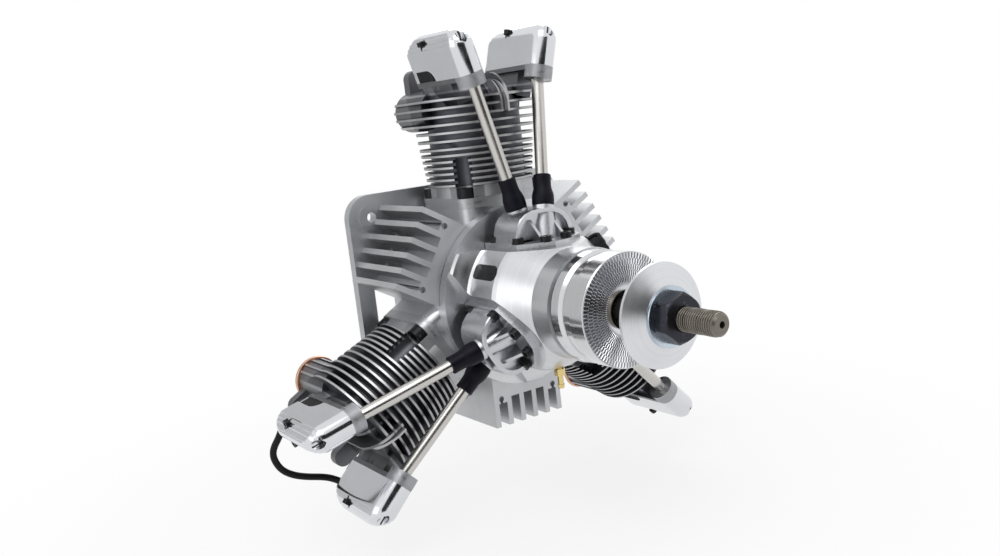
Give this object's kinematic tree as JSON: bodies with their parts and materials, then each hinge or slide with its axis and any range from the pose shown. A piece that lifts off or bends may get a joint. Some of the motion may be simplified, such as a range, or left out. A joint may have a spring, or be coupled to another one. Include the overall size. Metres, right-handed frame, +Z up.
{
  "type": "model radial engine",
  "caption": "Air-cooled four-stroke radial model aircraft engine with finned cylinders, polished rocker covers, exposed pushrod tubes, finned cooling brackets and a rear mounting plate.",
  "frame": {"origin": "on the crankshaft axis at the rear face of the mounting plate", "axes": "+X forward along the crankshaft to the propeller end, +Z up through cylinder 1, +Y to the right as seen from the front"},
  "size_m": [0.2398, 0.2598, 0.2277],
  "materials": {
    "case_satin": "satin silver",
    "bracket_satin": "fine blasted satin",
    "machined_silver": "machined",
    "cylinder_casting": "grey cast, satin",
    "chrome_cover": "polished",
    "tube_polish": "polished",
    "boot_rubber": "matt, blue-black",
    "black_screw": "black oxide",
    "grey_rod": "satin",
    "bearing_steel": "ground",
    "shaft_steel": "dark oiled steel",
    "driver_silver": "turned",
    "washer_silver": "satin turned",
    "zinc": "bright zinc",
    "gunmetal": "black oxide",
    "inner_steel": "ground",
    "brass": "bright",
    "carburettor_metal": "cast satin",
    "hose_rubber": "smooth matt",
    "pipe_steel": "brushed",
    "plug_steel": "plated",
    "copper": "bare copper",
    "black_plastic": "moulded"
  },
  "bodies": {
    "crankcase": {"crankcase": "case_satin", "rear_cover": "case_satin", "mount_plate": "bracket_satin", "bracket_left": "bracket_satin", "bracket_right": "bracket_satin", "bracket_bottom": "bracket_satin", "nose_housing": "case_satin", "tappet_housings": "machined_silver", "cylinder_1": "cylinder_casting", "cylinder_2": "cylinder_casting", "cylinder_3": "cylinder_casting", "rocker_covers_1": "chrome_cover", "rocker_covers_2": "chrome_cover", "rocker_covers_3": "chrome_cover", "pushrod_tubes": "tube_polish", "tube_boots": "boot_rubber", "screws_m3": "black_screw", "screws_m4": "grey_rod", "screws_m5": "black_screw", "main_bearings": "bearing_steel", "valve_springs": "inner_steel", "carburettor": "carburettor_metal", "breather_hose": "hose_rubber", "intake_pipes": "pipe_steel", "spark_plugs": "plug_steel", "exhaust_rings": "copper", "ignition_sensor": "black_plastic", "oil_nipple": "brass"},
    "crankshaft": {"crankshaft": "shaft_steel", "prop_driver": "driver_silver", "prop_washer": "washer_silver", "lock_washer": "zinc", "prop_nut": "gunmetal"},
    "cam_ring": {"cam_ring": "inner_steel"},
    "idler_gear": {"idler_gear": "brass"},
    "throttle_barrel": {"throttle_barrel": "carburettor_metal"},
    "piston_1": {"piston_1": "inner_steel"},
    "connecting_rod_1": {"connecting_rod_1": "inner_steel"},
    "piston_2": {"piston_2": "inner_steel"},
    "connecting_rod_2": {"connecting_rod_2": "inner_steel"},
    "piston_3": {"piston_3": "inner_steel"},
    "connecting_rod_3": {"connecting_rod_3": "inner_steel"},
    "rocker_1_left": {"rocker_1_left": "inner_steel"},
    "pushrod_1_left": {"pushrod_1_left": "inner_steel"},
    "valve_1_left": {"valve_1_left": "inner_steel"},
    "rocker_1_right": {"rocker_1_right": "inner_steel"},
    "pushrod_1_right": {"pushrod_1_right": "inner_steel"},
    "valve_1_right": {"valve_1_right": "inner_steel"},
    "rocker_2_left": {"rocker_2_left": "inner_steel"},
    "pushrod_2_left": {"pushrod_2_left": "inner_steel"},
    "valve_2_left": {"valve_2_left": "inner_steel"},
    "rocker_2_right": {"rocker_2_right": "inner_steel"},
    "pushrod_2_right": {"pushrod_2_right": "inner_steel"},
    "valve_2_right": {"valve_2_right": "inner_steel"},
    "rocker_3_left": {"rocker_3_left": "inner_steel"},
    "pushrod_3_left": {"pushrod_3_left": "inner_steel"},
    "valve_3_left": {"valve_3_left": "inner_steel"},
    "rocker_3_right": {"rocker_3_right": "inner_steel"},
    "pushrod_3_right": {"pushrod_3_right": "inner_steel"},
    "valve_3_right": {"valve_3_right": "inner_steel"}
  },
  "joints": [
    {"name": "crankshaft_turn", "type": "hinge", "parent": "crankcase", "child": "crankshaft", "pos_m": [0.07, 0, 0], "axis": [1, 0, 0], "continuous": true},
    {"name": "cam_ring_turn", "type": "hinge", "parent": "crankcase", "child": "cam_ring", "pos_m": [0.075, 0, 0], "axis": [1, 0, 0], "continuous": true},
    {"name": "idler_gear_turn", "type": "hinge", "parent": "crankcase", "child": "idler_gear", "pos_m": [0.069, 0, 0.0108], "axis": [1, 0, 0], "continuous": true},
    {"name": "piston_1_slide", "type": "slide", "parent": "crankcase", "child": "piston_1", "axis": [0, 0, 1], "range_m": [-0.0296, 0]},
    {"name": "connecting_rod_1_swing", "type": "hinge", "parent": "piston_1", "child": "connecting_rod_1", "pos_m": [0.03, 0, 0.0668], "axis": [1, 0, 0], "range_deg": [-16.54, 16.54]},
    {"name": "piston_2_slide", "type": "slide", "parent": "crankcase", "child": "piston_2", "axis": [0, 0.866, -0.5], "range_m": [-0.0058, 0.0238]},
    {"name": "connecting_rod_2_swing", "type": "hinge", "parent": "piston_2", "child": "connecting_rod_2", "pos_m": [0.03, 0.03723, -0.0215], "axis": [1, 0, 0], "range_deg": [-2.27, 30.8]},
    {"name": "piston_3_slide", "type": "slide", "parent": "crankcase", "child": "piston_3", "axis": [0, -0.866, -0.5], "range_m": [-0.0058, 0.0238]},
    {"name": "connecting_rod_3_swing", "type": "hinge", "parent": "piston_3", "child": "connecting_rod_3", "pos_m": [0.03, -0.03723, -0.0215], "axis": [1, 0, 0], "range_deg": [-30.8, 2.27]},
    {"name": "rocker_1_left_rock", "type": "hinge", "parent": "crankcase", "child": "rocker_1_left", "pos_m": [0.046, -0.02264, 0.11816], "axis": [0, -0.9636, -0.2672], "range_deg": [0, 9.31], "stiffness_Nm_per_rad": 0.002, "springref_deg": -5.73},
    {"name": "pushrod_1_left_slide", "type": "slide", "parent": "crankcase", "child": "pushrod_1_left", "axis": [-0.0767, -0.2138, 0.9739], "range_m": [0, 0.00269], "stiffness_N_per_m": 5, "springref_m": -0.02},
    {"name": "valve_1_left_slide", "type": "slide", "parent": "crankcase", "child": "valve_1_left", "axis": [0, 0.2672, -0.9636], "range_m": [0, 0.00262], "stiffness_N_per_m": 5, "springref_m": -0.02, "deforming": ["valve_springs"]},
    {"name": "rocker_1_right_rock", "type": "hinge", "parent": "crankcase", "child": "rocker_1_right", "pos_m": [0.046, 0.02264, 0.11816], "axis": [0, -0.9636, 0.2672], "range_deg": [0, 9.31], "stiffness_Nm_per_rad": 0.002, "springref_deg": -5.73},
    {"name": "pushrod_1_right_slide", "type": "slide", "parent": "crankcase", "child": "pushrod_1_right", "axis": [-0.1933, 0.2104, 0.9583], "range_m": [0, 0.0024], "stiffness_N_per_m": 5, "springref_m": -0.02},
    {"name": "valve_1_right_slide", "type": "slide", "parent": "crankcase", "child": "valve_1_right", "axis": [0, -0.2672, -0.9636], "range_m": [0, 0.00262], "stiffness_N_per_m": 5, "springref_m": -0.02},
    {"name": "rocker_2_left_rock", "type": "hinge", "parent": "crankcase", "child": "rocker_2_left", "pos_m": [0.046, 0.11365, -0.03948], "axis": [0, 0.2504, 0.9681], "range_deg": [0, 9.31], "stiffness_Nm_per_rad": 0.002, "springref_deg": -5.73},
    {"name": "pushrod_2_left_slide", "type": "slide", "parent": "crankcase", "child": "pushrod_2_left", "axis": [-0.0767, 0.9503, -0.3017], "range_m": [0, 0.00269], "stiffness_N_per_m": 5, "springref_m": -0.02},
    {"name": "valve_2_left_slide", "type": "slide", "parent": "crankcase", "child": "valve_2_left", "axis": [0, -0.9681, 0.2504], "range_m": [0, 0.00262], "stiffness_N_per_m": 5, "springref_m": -0.02},
    {"name": "rocker_2_right_rock", "type": "hinge", "parent": "crankcase", "child": "rocker_2_right", "pos_m": [0.046, 0.09101, -0.07869], "axis": [0, 0.7133, 0.7009], "range_deg": [0, 9.31], "stiffness_Nm_per_rad": 0.002, "springref_deg": -5.73},
    {"name": "pushrod_2_right_slide", "type": "slide", "parent": "crankcase", "child": "pushrod_2_right", "axis": [-0.1933, 0.7247, -0.6614], "range_m": [0, 0.0024], "stiffness_N_per_m": 5, "springref_m": -0.02},
    {"name": "valve_2_right_slide", "type": "slide", "parent": "crankcase", "child": "valve_2_right", "axis": [0, -0.7009, 0.7133], "range_m": [0, 0.00262], "stiffness_N_per_m": 5, "springref_m": -0.02},
    {"name": "rocker_3_left_rock", "type": "hinge", "parent": "crankcase", "child": "rocker_3_left", "pos_m": [0.046, -0.09101, -0.07869], "axis": [0, 0.7133, -0.7009], "range_deg": [0, 9.31], "stiffness_Nm_per_rad": 0.002, "springref_deg": -5.73},
    {"name": "pushrod_3_left_slide", "type": "slide", "parent": "crankcase", "child": "pushrod_3_left", "axis": [-0.0767, -0.7365, -0.6721], "range_m": [0, 0.00269], "stiffness_N_per_m": 5, "springref_m": -0.02},
    {"name": "valve_3_left_slide", "type": "slide", "parent": "crankcase", "child": "valve_3_left", "axis": [0, 0.7009, 0.7133], "range_m": [0, 0.00262], "stiffness_N_per_m": 5, "springref_m": -0.02},
    {"name": "rocker_3_right_rock", "type": "hinge", "parent": "crankcase", "child": "rocker_3_right", "pos_m": [0.046, -0.11365, -0.03948], "axis": [0, 0.2504, -0.9681], "range_deg": [0, 9.31], "stiffness_Nm_per_rad": 0.002, "springref_deg": -5.73},
    {"name": "pushrod_3_right_slide", "type": "slide", "parent": "crankcase", "child": "pushrod_3_right", "axis": [-0.1933, -0.9351, -0.2969], "range_m": [0, 0.0024], "stiffness_N_per_m": 5, "springref_m": -0.02},
    {"name": "valve_3_right_slide", "type": "slide", "parent": "crankcase", "child": "valve_3_right", "axis": [0, 0.9681, 0.2504], "range_m": [0, 0.00262], "stiffness_N_per_m": 5, "springref_m": -0.02},
    {"name": "throttle_turn", "type": "hinge", "parent": "crankcase", "child": "throttle_barrel", "pos_m": [-0.028, 0, 0], "axis": [0, 0, 1], "range_deg": [0, 75]}
  ],
  "couplings": [
    {"joint": "cam_ring_turn", "follows": "crankshaft_turn", "ratio": -0.5},
    {"joint": "idler_gear_turn", "follows": "crankshaft_turn", "ratio": -2},
    {"joint": "pushrod_1_left_slide", "follows": "rocker_1_left_rock", "m_per_rad": 0.016404},
    {"joint": "valve_1_left_slide", "follows": "rocker_1_left_rock", "m_per_rad": 0.016},
    {"joint": "pushrod_1_right_slide", "follows": "rocker_1_right_rock", "m_per_rad": 0.014593},
    {"joint": "valve_1_right_slide", "follows": "rocker_1_right_rock", "m_per_rad": 0.016},
    {"joint": "pushrod_2_left_slide", "follows": "rocker_2_left_rock", "m_per_rad": 0.016404},
    {"joint": "valve_2_left_slide", "follows": "rocker_2_left_rock", "m_per_rad": 0.016},
    {"joint": "pushrod_2_right_slide", "follows": "rocker_2_right_rock", "m_per_rad": 0.014593},
    {"joint": "valve_2_right_slide", "follows": "rocker_2_right_rock", "m_per_rad": 0.016},
    {"joint": "pushrod_3_left_slide", "follows": "rocker_3_left_rock", "m_per_rad": 0.016404},
    {"joint": "valve_3_left_slide", "follows": "rocker_3_left_rock", "m_per_rad": 0.016},
    {"joint": "pushrod_3_right_slide", "follows": "rocker_3_right_rock", "m_per_rad": 0.014593},
    {"joint": "valve_3_right_slide", "follows": "rocker_3_right_rock", "m_per_rad": 0.016}
  ]
}
